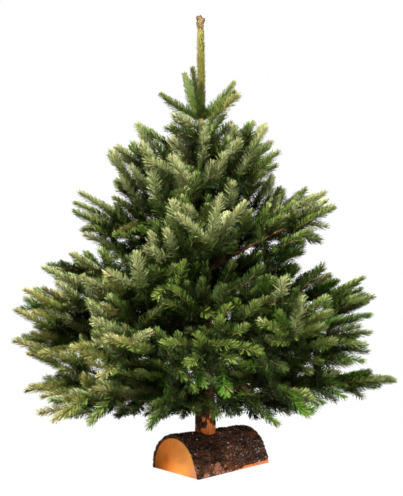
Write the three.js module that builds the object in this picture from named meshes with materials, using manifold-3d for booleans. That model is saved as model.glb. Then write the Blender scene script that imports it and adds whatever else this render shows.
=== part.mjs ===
// A cut Christmas tree, a young conifer, pegged into a half-log stand.
// Millimetres, +Z up. The origin is on the floor, under the foot of the trunk, and the log lies along X.
// The trunk runs up through the crown to the tip of the leader. Boughs leave it in seven whorls. The boughs
// of the upper whorls are needled from the trunk outwards, so each of them is one foliage mass. Lower down, a
// bare limb carries each mass.
import * as THREE from "three";
import { mergeVertices } from "three/addons/utils/BufferGeometryUtils.js";
import Module from "manifold-3d";

const wasm = await Module();
wasm.setup();

// ---- Driving dimensions ----
const TREE_HEIGHT = 1250; // floor to the tip of the leader
const CROWN_TURN = -42.5; // degrees about Z from the log's length to the right side of the crown
const GAP = 0.4; // clearance left between neighbouring solids

const LOG_RADIUS = 91; // at its thick end, -X
const LOG_THIN_END = 0.9; // share of that radius at its thin end
const LOG_LENGTH = 276;
const LOG_AXIS_HEIGHT = 11.5; // the sawn underside lies this far below the log's own axis
const LOG_SHIFT = 24; // how far the log's middle lies from the trunk, along +X
const LOG_SPREAD = 9; // how far the bark's lower edge on the -Y side stands out past the round
const LOG_SPREAD_HEIGHT = 32; // the height that it starts to spread at
const LOG_ARC_STEPS = 32;

const BORE_FLOOR = 38; // the trunk's flat foot stands on the floor of a blind hole at this height
const BORE_OVERRUN = 10; // how far the boring tool starts above the log
const TRUNK_SIDES = 12;
const TRUNK_LEAN = -14; // sideways drift of the leader's tip, in the crown's own frame
// The trunk's taper: [height, radius].
const TRUNK_TAPER = [
  [BORE_FLOOR + GAP, 28],
  [130, 28.5],
  [190, 27.5],
  [320, 24],
  [550, 19],
  [690, 16],
  [825, 12.5],
  [950, 9.5],
  [990, 6.5],
  [1120, 5.5],
  [1232, 5],
  [1238, 8],
  [1246, 7],
];

const NEEDLED_SHOOT = 21; // radius of a shoot with its needles
const TIP_SHOOT = 0.85; // share of that radius at a mass's last ring, where its end shoot draws in
const FULLEST_EARLY = 0.8; // below 1, a mass is fullest before its middle
const ROUNDNESS = 0.9; // below 1, its ends are blunter than a sine's
const LUMPS = 0.14; // how far a mass's rim wanders in and out, as a share of its half width
const SPRAYS = 0.1; // how far every other ring stands out, where side shoots reach past the rest
const LIMB_SOCKET = 0.06; // share of its bough that a limb runs on inside its mass
const LIMB_TAPER = 0.72; // a limb's radius there, as a share of its radius at the trunk
const LIMB_END_GAP = 0.002; // share of its bough left clear beyond a limb's end
const LIMB_SIDES = 6;
const LIMB_RINGS = 3;
const SHORT_MASS = [0.62, 0.62, 0.82]; // a mass on a bough with its own bare share has these shares of its whorl's size
const MASS_SIDES = 7;
const MASS_RINGS = 7;

// The whorls from the top down. height: where the boughs leave the trunk. arch: how far mid-bough stands
// above (+) or hangs below (-) the straight line to the tip. size: a mass's half width, and its thickness
// above and below its bough's line, at its fullest. bare: the share of each bough that is a bare limb, and
// limbRadius: that limb's radius at the trunk.
// Each bough: [azimuth in degrees, 0 right and 270 front; reach from the trunk; rise of its tip; and its own
// bare share where that differs from its whorl's].
const WHORLS = [
  {
    height: 958,
    arch: -8,
    size: [19, 17, 23],
    boughs: [
      [190, 120, 72],
      [122, 95, 148],
      [250, 74, 138],
      [20, 102, 116],
      [335, 106, 76],
    ],
  },
  {
    height: 825,
    arch: 0,
    size: [62, 42, 58],
    boughs: [
      [183, 182, 118],
      [98, 175, 122],
      [28, 150, 120],
      [270, 165, 104],
    ],
  },
  {
    height: 690,
    arch: 4,
    size: [90, 62, 84],
    boughs: [
      [325, 202, 240],
      [40, 256, 172],
      [115, 255, 165],
      [178, 262, 186],
      [240, 252, 122],
    ],
  },
  {
    height: 538,
    arch: 8,
    size: [130, 80, 106],
    limbRadius: 8.5,
    boughs: [
      [340, 366, 178, 0.38],
      [30, 380, 224],
      [100, 365, 177],
      [168, 380, 196],
      [262, 312, 166],
    ],
  },
  {
    height: 430,
    arch: 10,
    size: [140, 76, 92],
    bare: 0.2,
    limbRadius: 9.5,
    boughs: [
      [12, 488, 38],
      [73, 452, 108],
      [157, 508, 126],
      [194, 508, 12],
      [238, 392, 116],
      [305, 400, 40],
    ],
  },
  {
    height: 318,
    arch: -4,
    size: [134, 66, 86],
    bare: 0.22,
    limbRadius: 10,
    boughs: [
      [184, 518, 36],
      [232, 430, 60],
      [278, 400, 62],
      [347, 456, 62],
      [45, 492, 50],
      [112, 500, 56],
    ],
  },
  {
    height: 212,
    arch: 4,
    size: [112, 42, 36],
    bare: 0.24,
    limbRadius: 9,
    boughs: [
      [358, 526, 28],
      [311, 400, -6],
      [250, 326, -14],
      [211, 486, -20],
      [178, 492, 6],
      [128, 462, -12],
      [62, 458, -8],
    ],
  },
];
const WINDS = ["right", "back_right", "back", "back_left", "left", "front_left", "front", "front_right"];

// ---- Materials ----
const material = (color, roughness) => new THREE.MeshStandardMaterial({ color, roughness, metalness: 0 });
const BARK = material(0x4a3524, 0.9);
const LOG_BARK = material(0x3e271c, 0.92);
const LIMB_BARK = material(0x6b4527, 0.85);
const SAGE_NEEDLES = material(0x77835a, 0.6);
const OLIVE_NEEDLES = material(0x6a7448, 0.6);
const GREEN_NEEDLES = material(0x4f6a32, 0.6);
// The needles of each whorl, from the top down.
const NEEDLES = [
  SAGE_NEEDLES,
  SAGE_NEEDLES,
  SAGE_NEEDLES,
  OLIVE_NEEDLES,
  OLIVE_NEEDLES,
  GREEN_NEEDLES,
  GREEN_NEEDLES,
];

// ---- Solids ----
const radians = THREE.MathUtils.degToRad;

/** A closed three.js geometry as a manifold-3d solid. */
function solidOf(geometry) {
  const bare = geometry.clone();
  bare.deleteAttribute("normal");
  bare.deleteAttribute("uv");
  const merged = mergeVertices(bare, 1e-3);
  return new wasm.Manifold(
    new wasm.Mesh({
      numProp: 3,
      vertProperties: merged.attributes.position.array,
      triVerts: new Uint32Array(merged.index.array),
    }),
  );
}

/** A manifold-3d solid as a three.js geometry. */
function geometryOf(solid) {
  const { numProp, vertProperties, triVerts } = solid.getMesh();
  const positions = new Float32Array((vertProperties.length / numProp) * 3);
  for (let i = 0; i < positions.length / 3; i++) {
    positions.set(vertProperties.subarray(i * numProp, i * numProp + 3), i * 3);
  }
  const geometry = new THREE.BufferGeometry();
  geometry.setAttribute("position", new THREE.BufferAttribute(positions, 3));
  geometry.setIndex(new THREE.BufferAttribute(new Uint32Array(triVerts), 1));
  geometry.computeVertexNormals();
  return geometry;
}

/** The largest of a solid's separate bodies. */
function largest(solid) {
  return solid.decompose().reduce((best, body) => (body.volume() > best.volume() ? body : best));
}

/** A repeatable number between -1 and 1 for a whole-number key. */
function scatter(key) {
  const s = Math.sin(key * 127.1 + 11.7) * 43758.5453;
  return 2 * (s - Math.floor(s)) - 1;
}

/** The trunk's axis at a height: it drifts sideways above the stand. */
function trunkAxis(height) {
  const climbed = Math.max(0, height - TRUNK_TAPER[1][0]) / (TREE_HEIGHT - TRUNK_TAPER[1][0]);
  return new THREE.Vector3(TRUNK_LEAN * climbed, 0, height);
}

/** A bough's centre line, from the trunk's axis (t = 0) to its tip (t = 1). */
class BoughLine extends THREE.Curve {
  constructor(height, [azimuth, reach, rise], arch) {
    super();
    this.foot = trunkAxis(height);
    this.out = new THREE.Vector3(Math.cos(radians(azimuth)), Math.sin(radians(azimuth)), 0);
    this.reach = reach;
    this.rise = rise;
    this.arch = arch;
  }

  getPoint(t) {
    const lift = this.rise * t + this.arch * 4 * t * (1 - t);
    return this.foot
      .clone()
      .addScaledVector(this.out, this.reach * t)
      .setZ(this.foot.z + lift);
  }
}

/** A line's point, and the directions across it and over it, at t. */
function frameOn(line, t) {
  const along = line.getTangent(t);
  const across = along.clone().cross(new THREE.Vector3(0, 0, 1)).normalize();
  return { point: line.getPoint(t), across, over: across.clone().cross(along) };
}

/** A unit cylinder bent along a line from t = 0 to t = end, with its radius tapering. */
function limbGeometry(line, end, footRadius, endRadius) {
  const geometry = new THREE.CylinderGeometry(1, 1, 1, LIMB_SIDES, LIMB_RINGS);
  const position = geometry.attributes.position;
  for (let i = 0; i < position.count; i++) {
    const share = position.getY(i) + 0.5;
    const { point, across, over } = frameOn(line, share * end);
    const radius = THREE.MathUtils.lerp(footRadius, endRadius, share);
    point.addScaledVector(across, position.getX(i) * radius);
    point.addScaledVector(over, position.getZ(i) * radius);
    position.setXYZ(i, point.x, point.y, point.z);
  }
  return geometry;
}

/** How full a mass is at a share of its length: it swells before the middle and draws in to its tip. */
function fullness(share) {
  return Math.sin(Math.PI * share ** FULLEST_EARLY) ** ROUNDNESS;
}

/** A unit ball drawn out along a bough's line, from its bare limb to its tip: a flattened, uneven spray. */
function massGeometry({ line, bare, size, seed }, grow = 0) {
  const [halfWidth, above, below] = size;
  const geometry = new THREE.SphereGeometry(1, MASS_SIDES, MASS_RINGS);
  const position = geometry.attributes.position;
  for (let i = 0; i < position.count; i++) {
    const share = Math.acos(THREE.MathUtils.clamp(-position.getY(i), -1, 1)) / Math.PI;
    const ring = Math.round(share * MASS_RINGS);
    const { point, across, over } = frameOn(line, bare + (1 - bare) * share);
    if (ring > 0 && ring < MASS_RINGS) {
      const turn = Math.atan2(position.getZ(i), position.getX(i));
      const side = Math.round((turn / (2 * Math.PI)) * MASS_SIDES + MASS_SIDES) % MASS_SIDES;
      const uneven = 1 + LUMPS * scatter(seed + ring * 31 + side * 7) + SPRAYS * (-1) ** ring;
      const shoot = Math.min(NEEDLED_SHOOT, above) * (ring === MASS_RINGS - 1 ? TIP_SHOOT : 1);
      const halfThickness = Math.sin(turn) < 0 ? below : above;
      const width = THREE.MathUtils.lerp(shoot, halfWidth, fullness(share)) * uneven + grow;
      const thickness = THREE.MathUtils.lerp(shoot, halfThickness, fullness(share)) * uneven + grow;
      point.addScaledVector(across, Math.cos(turn) * width);
      point.addScaledVector(over, Math.sin(turn) * thickness);
    }
    position.setXYZ(i, point.x, point.y, point.z);
  }
  return geometry;
}

/** The trunk, turned about its axis and leaned; grow widens it to cut its neighbours. */
function trunkSolid(grow = 0) {
  const foot = TRUNK_TAPER[0][0] - grow;
  const profile = [
    new THREE.Vector2(0, foot),
    new THREE.Vector2(TRUNK_TAPER[0][1] + grow, foot),
    ...TRUNK_TAPER.slice(1).map(([height, radius]) => new THREE.Vector2(radius + grow, height)),
    new THREE.Vector2(0, TREE_HEIGHT + grow),
  ];
  const geometry = new THREE.LatheGeometry(profile, TRUNK_SIDES).rotateX(Math.PI / 2);
  const position = geometry.attributes.position;
  for (let i = 0; i < position.count; i++) {
    position.setX(i, position.getX(i) + trunkAxis(position.getZ(i)).x);
  }
  return solidOf(geometry);
}

/** The log: a round billet with a flat sawn along its underside, bored from above for the trunk. */
function logSolid() {
  const edge = Math.asin(LOG_AXIS_HEIGHT / LOG_RADIUS);
  const outline = new THREE.Shape().absarc(0, LOG_AXIS_HEIGHT, LOG_RADIUS, -edge, Math.PI + edge);
  const billet = new THREE.ExtrudeGeometry(outline, {
    depth: LOG_LENGTH,
    bevelEnabled: false,
    curveSegments: LOG_ARC_STEPS,
  });
  // The outline is drawn in X and Y and pushed along Z; it is stood up and turned to lie along X.
  billet.rotateX(Math.PI / 2).rotateZ(Math.PI / 2);
  const position = billet.attributes.position;
  for (let i = 0; i < position.count; i++) {
    const taper = THREE.MathUtils.lerp(1, LOG_THIN_END, position.getX(i) / LOG_LENGTH);
    const height = position.getZ(i) * taper;
    const spread = position.getY(i) < 0 ? Math.max(0, 1 - height / LOG_SPREAD_HEIGHT) : 0;
    position.setY(i, position.getY(i) * taper - LOG_SPREAD * spread);
    position.setZ(i, height);
  }
  billet.translate(LOG_SHIFT - LOG_LENGTH / 2, 0, 0);
  const boreRadius = (TRUNK_TAPER[1][1] + GAP) / Math.cos(Math.PI / (2 * TRUNK_SIDES));
  const boreTop = LOG_AXIS_HEIGHT + LOG_RADIUS + BORE_OVERRUN;
  const bore = new THREE.CylinderGeometry(boreRadius, boreRadius, boreTop - BORE_FLOOR, 2 * TRUNK_SIDES)
    .rotateX(Math.PI / 2)
    .translate(0, 0, (boreTop + BORE_FLOOR) / 2);
  return solidOf(billet).subtract(solidOf(bore));
}

function node(name, solid, finish) {
  const mesh = new THREE.Mesh(geometryOf(solid), finish);
  mesh.name = name;
  return mesh;
}

// ---- Assembly ----
const tree = new THREE.Group();
tree.add(node("log_stand", logSolid(), LOG_BARK));

const crown = new THREE.Group();
crown.rotation.z = radians(CROWN_TURN);
tree.add(crown);
crown.add(node("trunk", trunkSolid(), BARK));

// The boughs of every whorl, with their names and lines.
const boughs = WHORLS.flatMap((whorl, tier) =>
  whorl.boughs.map((bough, place) => ({
    tier,
    name: `${tier + 1}_${WINDS[Math.round(bough[0] / 45) % WINDS.length]}`,
    line: new BoughLine(whorl.height, bough, whorl.arch),
    bare: bough[3] ?? whorl.bare ?? 0,
    limbRadius: whorl.limbRadius,
    size: whorl.size.map((width, side) => (bough[3] ? width * SHORT_MASS[side] : width)),
    seed: 100 * tier + 13 * place,
  })),
);

// Each limb and mass is cut round what is already in place: the trunk, then the limbs, then the masses from
// the top down.
const placed = [trunkSolid(GAP)];
function fitted(solid) {
  const near = placed.filter((other) => !solid.intersect(other).isEmpty());
  return largest(near.reduce((rest, other) => rest.subtract(other), solid));
}

// Limbs end where they enter their mass, a little past its inner end.
for (const { name, line, bare, limbRadius } of boughs.filter((bough) => bough.bare > 0)) {
  const end = bare + LIMB_SOCKET;
  const endRadius = limbRadius * LIMB_TAPER;
  const limb = fitted(solidOf(limbGeometry(line, end, limbRadius, endRadius)));
  crown.add(node(`bough_${name}`, limb, LIMB_BARK));
  placed.push(solidOf(limbGeometry(line, end + LIMB_END_GAP, limbRadius + GAP, endRadius + GAP)));
}

for (const bough of boughs) {
  const mass = fitted(solidOf(massGeometry(bough)));
  crown.add(node(`foliage_${bough.name}`, mass, NEEDLES[bough.tier]));
  placed.push(solidOf(massGeometry(bough, GAP)));
}

export default tree;
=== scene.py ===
"""A cut young fir pegged into a half-log stand: its bark, boughs, twigs, buds and needles.

Everything is in metres, +Z up, with the half log along X and the trunk over the origin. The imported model
gives the trunk's taper, each limb's bare length and each foliage mass's tip and outline. A seeded branching
rule grows shoots on from the limbs and keeps them near those outlines. The sprays of FRONT_SPRAYS and
LAST_SPRAYS are placed one by one instead, and the rule's shoots keep their outer halves out of OPENINGS.
"""
import math
from collections import defaultdict, deque, namedtuple

import bmesh
import bpy
import numpy as np
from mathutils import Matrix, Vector
from mathutils.bvhtree import BVHTree


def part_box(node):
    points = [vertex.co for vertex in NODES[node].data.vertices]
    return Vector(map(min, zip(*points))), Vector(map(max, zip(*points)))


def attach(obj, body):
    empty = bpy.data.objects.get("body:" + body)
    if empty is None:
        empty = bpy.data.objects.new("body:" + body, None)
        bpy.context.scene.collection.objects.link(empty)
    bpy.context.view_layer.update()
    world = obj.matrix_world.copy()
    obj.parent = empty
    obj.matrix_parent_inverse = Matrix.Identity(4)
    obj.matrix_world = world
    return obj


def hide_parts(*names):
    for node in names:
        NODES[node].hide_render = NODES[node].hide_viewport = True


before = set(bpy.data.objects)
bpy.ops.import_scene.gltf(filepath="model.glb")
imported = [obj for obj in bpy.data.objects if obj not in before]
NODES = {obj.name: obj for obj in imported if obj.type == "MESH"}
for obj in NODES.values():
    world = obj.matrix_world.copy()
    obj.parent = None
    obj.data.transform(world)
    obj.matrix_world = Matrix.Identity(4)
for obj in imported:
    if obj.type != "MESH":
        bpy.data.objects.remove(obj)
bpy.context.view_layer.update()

MM = 0.001
UP = np.array([0.0, 0.0, 1.0])

# ---- The tree's own sizes ----
VIEW_TURN = math.radians(-42.5)  # the turn about Z from the log's length to the crown's right
RIGHT = np.array([math.cos(VIEW_TURN), math.sin(VIEW_TURN), 0.0])
BACK = np.array([-math.sin(VIEW_TURN), math.cos(VIEW_TURN), 0.0])

CAMERA_REACH = 2.515
CAMERA_HEIGHT = 0.605
CAMERA_SIDESTEP = -10.6 * MM
CAMERA_LENS = 65.85

# The whorls from the top down: the height where the boughs leave the trunk, how far mid-bough stands above
# the line to its tip, and how many seasons the boughs have grown.
WHORLS = {
    1: {"height": 958 * MM, "arch": -8 * MM, "seasons": 1},
    2: {"height": 825 * MM, "arch": 0 * MM, "seasons": 2},
    3: {"height": 690 * MM, "arch": 4 * MM, "seasons": 3},
    4: {"height": 538 * MM, "arch": 8 * MM, "seasons": 4},
    5: {"height": 430 * MM, "arch": 10 * MM, "seasons": 5},
    6: {"height": 318 * MM, "arch": -4 * MM, "seasons": 6},
    7: {"height": 212 * MM, "arch": 4 * MM, "seasons": 6},
}

NEEDLE_LENGTH = 24 * MM
NEEDLE_WIDTH = 1.9 * MM
NEEDLES_PER_METRE = 3300
NEEDLES_PER_PIECE = 90_000
GOLDEN_TURN = math.radians(137.5)
COMB = 0.25  # how far the needles are combed up from a shoot's underside
FLATNESS = 0.4  # how much closer along a shoot the needles over and under it lie than those beside it

SHORTEST_SHOOT = 64 * MM
LONGEST_SHOOT = 125 * MM
SHORTEST_SEASON = 112 * MM  # a main bough's side shoots are as long as if its seasons were at least this long
CROWDING = 29 * MM  # the rule's shoots keep their tips about this clear of other shoots
INNER_CROWDING = 21 * MM  # the same inside the crown
COVER = 70 * MM  # a shoot with more than this much crown still outside it is an inner one
OVERREACH = 10 * MM  # how far a shoot's tip may stand out of the crown's outline
TOP_OVERREACH = 20 * MM  # the same in the two top whorls
WIDEST_GAP = 32 * MM  # an emptier place than this inside the outline draws a shoot
FILL_TRIES = 24_000
FILL_DEPTH = 4 * MM  # shallower places than this are left empty
FILL_REACH = (42 * MM, 190 * MM)  # the nearest and farthest that a filling shoot starts from its place
NEIGHBOURS = 80 * MM
LONELY = 6  # no shoot grows towards a place with fewer grown points than this within NEIGHBOURS

# Where each kind of random number starts counting.
BOUGH_SEED = 1000
HANGING_SEED = 3000
FIRST_SPRAY = 10_000
KIND_SEED = 50_000
NEEDLE_SEED = 90_000
TWIG_SEED = 130_000


def unit(v):
    return v / np.linalg.norm(v)


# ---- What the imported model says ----
def corners(node):
    """A node's vertices as an array."""
    mesh = NODES[node].data
    points = np.zeros(len(mesh.vertices) * 3)
    mesh.vertices.foreach_get("co", points)
    return points.reshape(-1, 3)


def trunk_rings():
    """The trunk's rings from the foot up: rows of height, x, y and radius."""
    levels = defaultdict(set)
    for x, y, z in corners("trunk"):
        levels[round(z, 4)].add((round(x, 5), round(y, 5)))
    rings = []
    for height in sorted(levels):
        ring = np.array(sorted(levels[height]))
        if len(ring) > 4:
            centre = ring[np.linalg.norm(ring - ring.mean(0), axis=1) > 1e-4].mean(0)
            radius = np.linalg.norm(ring - centre, axis=1).max()
            rings.append((height, *centre, radius))
    return np.array(rings)


RINGS = trunk_rings()
TREE_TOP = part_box("trunk")[1].z


def trunk_at(height):
    """The trunk's centre and radius at a height."""
    x, y, radius = (np.interp(height, RINGS[:, 0], RINGS[:, k]) for k in (1, 2, 3))
    return np.array([x, y, height]), radius


class Bough:
    """One main bough: its line from the trunk's axis (0) to its tip (1)."""

    def __init__(self, node):
        self.mark = node.removeprefix("foliage_")
        self.tier = int(self.mark.split("_")[0])
        whorl = WHORLS[self.tier]
        self.seasons = whorl["seasons"]
        self.foot, self.trunk_radius = trunk_at(whorl["height"])
        points = corners(node)
        farthest = points[np.argmax(np.linalg.norm(points - self.foot, axis=1))]
        self.tip = farthest - unit(farthest - self.foot) * NEEDLE_LENGTH * 0.25
        self.arch = whorl["arch"]
        self.limb = f"bough_{self.mark}" if f"bough_{self.mark}" in NODES else None
        self.bare = self.bare_share()
        self.length = np.linalg.norm(self.tip - self.foot)

    def bare_share(self):
        """How much of the bough is a bare limb."""
        if not self.limb:
            return 0.0
        reach = np.linalg.norm((corners(self.limb) - self.foot)[:, :2], axis=1).max()
        return reach / np.linalg.norm((self.tip - self.foot)[:2])

    def at(self, share):
        lift = self.arch * 4 * share * (1 - share)
        return self.foot + (self.tip - self.foot) * share + UP * lift


BOUGHS = [Bough(node) for node in sorted(NODES) if node.startswith("foliage_")]


class Outline:
    """The crown's outline: all the foliage masses together."""

    def __init__(self):
        self.surfaces, lows, highs = [], [], []
        for bough in BOUGHS:
            mesh = NODES[f"foliage_{bough.mark}"].data
            points = [v.co.copy() for v in mesh.vertices]
            faces = [tuple(p.vertices) for p in mesh.polygons]
            self.surfaces.append(BVHTree.FromPolygons(points, faces))
            low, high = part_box(f"foliage_{bough.mark}")
            lows.append(low)
            highs.append(high)
        self.lows = np.array(lows)
        self.highs = np.array(highs)
        self.volumes = np.prod(self.highs - self.lows, axis=1)

    def depth(self, point, margin=30 * MM):
        """How far inside the crown a point lies; outside it is negative."""
        deepest = -margin
        near = np.all((point > self.lows - margin) & (point < self.highs + margin), axis=1)
        for number in np.flatnonzero(near):
            place, normal, _, distance = self.surfaces[number].find_nearest(Vector(point))
            inside = (Vector(point) - place).dot(normal) < 0
            deepest = max(deepest, distance if inside else -distance)
        return deepest

    def front(self, eye, aim):
        """How far along aim from the eye the crown's front is, as a share of aim's length."""
        length = np.linalg.norm(aim)
        hits = (surface.ray_cast(Vector(eye), Vector(aim / length))[3] for surface in self.surfaces)
        return min((hit / length for hit in hits if hit is not None), default=1.0)

    def sample(self, rng):
        """A random place in one mass's box, and that mass's number."""
        number = rng.choice(len(self.surfaces), p=self.volumes / self.volumes.sum())
        return number, rng.uniform(self.lows[number], self.highs[number])


OUTLINE = Outline()


# ---- The branching rule ----
# A branch still to be grown. overreach: how far it may stand out of the crown's outline.
Axis = namedtuple("Axis", "tier start heading seasons length order overreach")


class Shoot:
    """One season's growth: a curved line of points, with its age in seasons."""

    def __init__(self, points, age, order, spray, tier, overreach):
        self.points = points
        self.age = age
        self.order = order
        self.spray = spray
        self.tier = tier
        self.overreach = overreach
        self.is_tip = False
        self.kind = None
        self.inner = OUTLINE.depth(points[-1] + outward(points[-1], tier) * COVER) > 0

    @property
    def heading(self):
        return unit(self.points[-1] - self.points[-2])

    @property
    def length(self):
        return np.linalg.norm(np.diff(self.points, axis=0), axis=1).sum()


class Room:
    """Remembers where shoots already are, so that new ones keep clear of them."""

    def __init__(self, step):
        self.step = step
        self.cells = defaultdict(list)

    def cell(self, point):
        return tuple(np.floor(point / self.step).astype(int))

    def fill(self, points):
        for point in points:
            self.cells[self.cell(point)].append(point)

    def taken(self, point, clearance):
        x, y, z = self.cell(point)
        for dx in (-1, 0, 1):
            for dy in (-1, 0, 1):
                for dz in (-1, 0, 1):
                    for other in self.cells.get((x + dx, y + dy, z + dz), ()):
                        if np.linalg.norm(other - point) < clearance:
                            return True
        return False


def curved(start, heading, length, tier, rng):
    """A season's line from start: it leaves along heading and bends towards the way growth leans."""
    points = [start]
    for _ in range(4):
        heading = unit(heading + outward(points[-1], tier) * 0.15 + rng.normal(0, 0.025, 3))
        points.append(points[-1] + heading * length / 4)
    return np.array(points)


def across(heading):
    """The directions over and beside a line."""
    over = UP - heading * heading[2]
    if np.linalg.norm(over) < 0.1:
        over = RIGHT - heading * (RIGHT @ heading)
    over = unit(over)
    return over, np.cross(heading, over)


# The half-width that slimness is judged against, by height. It widens again at the top, so that nothing is
# slimmer there.
JUDGED_HEIGHTS = (0.5, 0.9, 0.95)
JUDGED_HALVES = (0.5, 0.2, 0.5)
SLIMMEST = 0.15


def fineness(point):
    """1 in the middle of the crown and less at its far left and right, where the sprays are slimmer."""
    half = np.interp(point[2], JUDGED_HEIGHTS, JUDGED_HALVES)
    return 1 - SLIMMEST * np.clip((abs(point @ RIGHT) / half - 0.55) / 0.3, 0, 1)


def side_heading(heading, angle, roll):
    """A side shoot's heading: angle away from its parent's, rolled round it from straight up."""
    over, beside = across(heading)
    out = over * math.cos(roll) + beside * math.sin(roll)
    return unit(heading * math.cos(angle) + out * math.sin(angle))


# How steeply young shoots reach up from level, in degrees by tier, and how much more so at the crown's front.
REACH_UP = {1: 50, 2: 66, 3: 58, 4: 48, 5: 40, 6: 25, 7: 2}
FRONT_LIFT = 20


def outward(point, tier):
    """The way that young growth leans at a place: away from the trunk and up."""
    away = point - trunk_at(point[2])[0]
    away[2] = 0
    away = unit(away + 1e-6)
    rise = math.radians(REACH_UP[tier] + FRONT_LIFT * max(0, -(away @ BACK)))
    return unit(away * math.cos(rise) + UP * math.sin(rise))


# Side shoots at the end of each season's growth: roll from straight up, its spread, how often, and length.
SIDES = (
    (90, 16, 1.0, 1.0),
    (-90, 16, 1.0, 1.0),
    (10, 30, 0.5, 0.95),
    (180, 35, 0.35, 0.9),
    (48, 16, 0.25, 0.95),
    (-48, 16, 0.25, 0.95),
)


SIDE_LEAN = 0.8  # how strongly a side shoot turns the way that growth leans


def leaning(heading, place, tier):
    return unit(heading + outward(place, tier) * SIDE_LEAN)


def side_axes(shoot, seasons, season_length, rng):
    """The side shoots that start where a season's growth ends."""
    for roll, spread, often, share in SIDES:
        if rng.random() > often:
            continue
        angle = math.radians(rng.normal(50 if seasons > 1 else 44, 5))
        heading = side_heading(shoot.heading, angle, math.radians(rng.normal(roll, spread)))
        heading = leaning(heading, shoot.points[-1], shoot.tier)
        length = min(season_length * share * rng.uniform(0.9, 1.12), LONGEST_SHOOT)
        yield Axis(shoot.tier, shoot.points[-1], heading, seasons, length, shoot.order + 1, shoot.overreach)


def between_axes(shoot, seasons, season_length, rng):
    """Small side shoots part of the way along a season's growth."""
    for _ in range(rng.integers(0, 4)):
        place = shoot.points[rng.integers(1, len(shoot.points) - 1)]
        heading = side_heading(
            shoot.heading, math.radians(rng.normal(52, 6)), rng.uniform(-math.pi, math.pi)
        )
        heading = leaning(heading, place, shoot.tier)
        length = season_length * rng.uniform(0.75, 0.95)
        yield Axis(shoot.tier, place, heading, min(seasons, 2), length, shoot.order + 2, shoot.overreach)


# Small boughs that leave the trunk between the whorls: from and to height, spacing, seasons, season's length
# and overreach.
TRUNK_SHOOTS = (
    (845 * MM, 945 * MM, 8 * MM, 1, 96 * MM, 20 * MM),
    (710 * MM, 850 * MM, 9 * MM, 2, 92 * MM, 20 * MM),
    (560 * MM, 710 * MM, 11 * MM, 3, 88 * MM, 20 * MM),
    (330 * MM, 560 * MM, 9 * MM, 3, 88 * MM, 50 * MM),
    (182 * MM, 330 * MM, 6 * MM, 2, 76 * MM, 80 * MM),
)


def trunk_axes():
    """The small boughs between the whorls."""
    turn = 0.0
    for low, high, step, seasons, length, overreach in TRUNK_SHOOTS:
        for height in np.arange(low, high, step):
            turn += GOLDEN_TURN
            place, _ = trunk_at(height)
            nearest = min(WHORLS, key=lambda tier: abs(WHORLS[tier]["height"] - height))
            rise = math.radians(REACH_UP[nearest]) * 0.8
            level = RIGHT * math.cos(turn) + BACK * math.sin(turn)
            heading = level * math.cos(rise) + UP * math.sin(rise)
            yield Axis(nearest, place, heading, seasons, length, 1, overreach)


# Shares of a bough's length where small shoots hang from it.
HANGING = {"4_right": (0.4, 0.47, 0.54, 0.61)}
HANGING_BELOW = (0.25, 0.4, 0.55, 0.7)  # the same on every bough of the lowest whorl


def hanging_axes(bough, rng):
    """The shoots that hang from a bough; they droop and then level out."""
    level = (bough.tip - bough.foot) * (1, 1, 0)
    level = unit(level)
    beside = np.cross(UP, level)
    for share in HANGING.get(bough.mark, HANGING_BELOW if bough.tier == 7 else ()):
        heading = unit(level * 0.8 - UP * 0.9 + beside * rng.normal(0, 0.5))
        seasons, overreach = (1, 40 * MM) if bough.tier == 7 else (2, 75 * MM)
        yield Axis(7, bough.at(share), heading, seasons, rng.uniform(76, 92) * MM, 1, overreach)


EYE = RIGHT * CAMERA_SIDESTEP - BACK * CAMERA_REACH + UP * CAMERA_HEIGHT

# Places where the crown is open from the front, in millimetres: from right and up, to right and up, the
# half-width kept free of shoots, and how far back it is open.
OPENINGS = (
    (28, 555, 99, 580, 19, 20),
    (99, 580, 200, 626, 18, 0),
    (20, 532, 45, 540, 10, 500),
    (71, 469, 127, 505, 8, 500),
    (-254, 545, -204, 533, 14, 500),
    (-388, 490, -345, 468, 8, 500),
    (-445, 585, -305, 615, 18, 500),
    (300, 610, 370, 605, 13, 500),
    (335, 545, 385, 520, 12, 500),
    (-165, 985, -110, 905, 17, 500),
    (-100, 125, -55, 110, 22, 500),
    (-15, 125, 20, 125, 26, 500),
    (138, 778, 150, 786, 9, 500),
    (336, 284, 400, 276, 15, 500),
    (440, 284, 530, 284, 18, 500),
    (440, 200, 540, 196, 18, 500),
    (225, 125, 265, 105, 16, 500),
    (212, 775, 240, 762, 12, 500),
    (310, 650, 340, 640, 12, 500),
    (-335, 722, -285, 695, 9, 500),
    (-14, 845, -14, 812, 10, 0),
    (-390, 115, -345, 130, 14, 500),
    (-480, 145, -445, 150, 14, 500),
    (430, 365, 460, 365, 10, 500),
    (270, 598, 350, 588, 12, 500),
    (-430, 572, -370, 575, 10, 500),
)


def in_opening(points):
    """Whether any of these points shows in an opening."""
    behind = points @ BACK
    seen = EYE + (points - EYE) * (CAMERA_REACH / (behind + CAMERA_REACH))[:, None]
    across_front = np.stack([seen @ RIGHT, seen[:, 2]], axis=1)
    for row in OPENINGS:
        from_right, from_up, to_right, to_up, half, depth = (size * MM for size in row)
        start = np.array((from_right, from_up))
        line = np.subtract((to_right, to_up), start)
        share = np.clip((across_front - start) @ line / (line @ line), 0, 1)
        gap = np.linalg.norm(across_front - start - share[:, None] * line, axis=1)
        if np.any((gap < half) & (behind < depth)):
            return True
    return False


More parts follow.
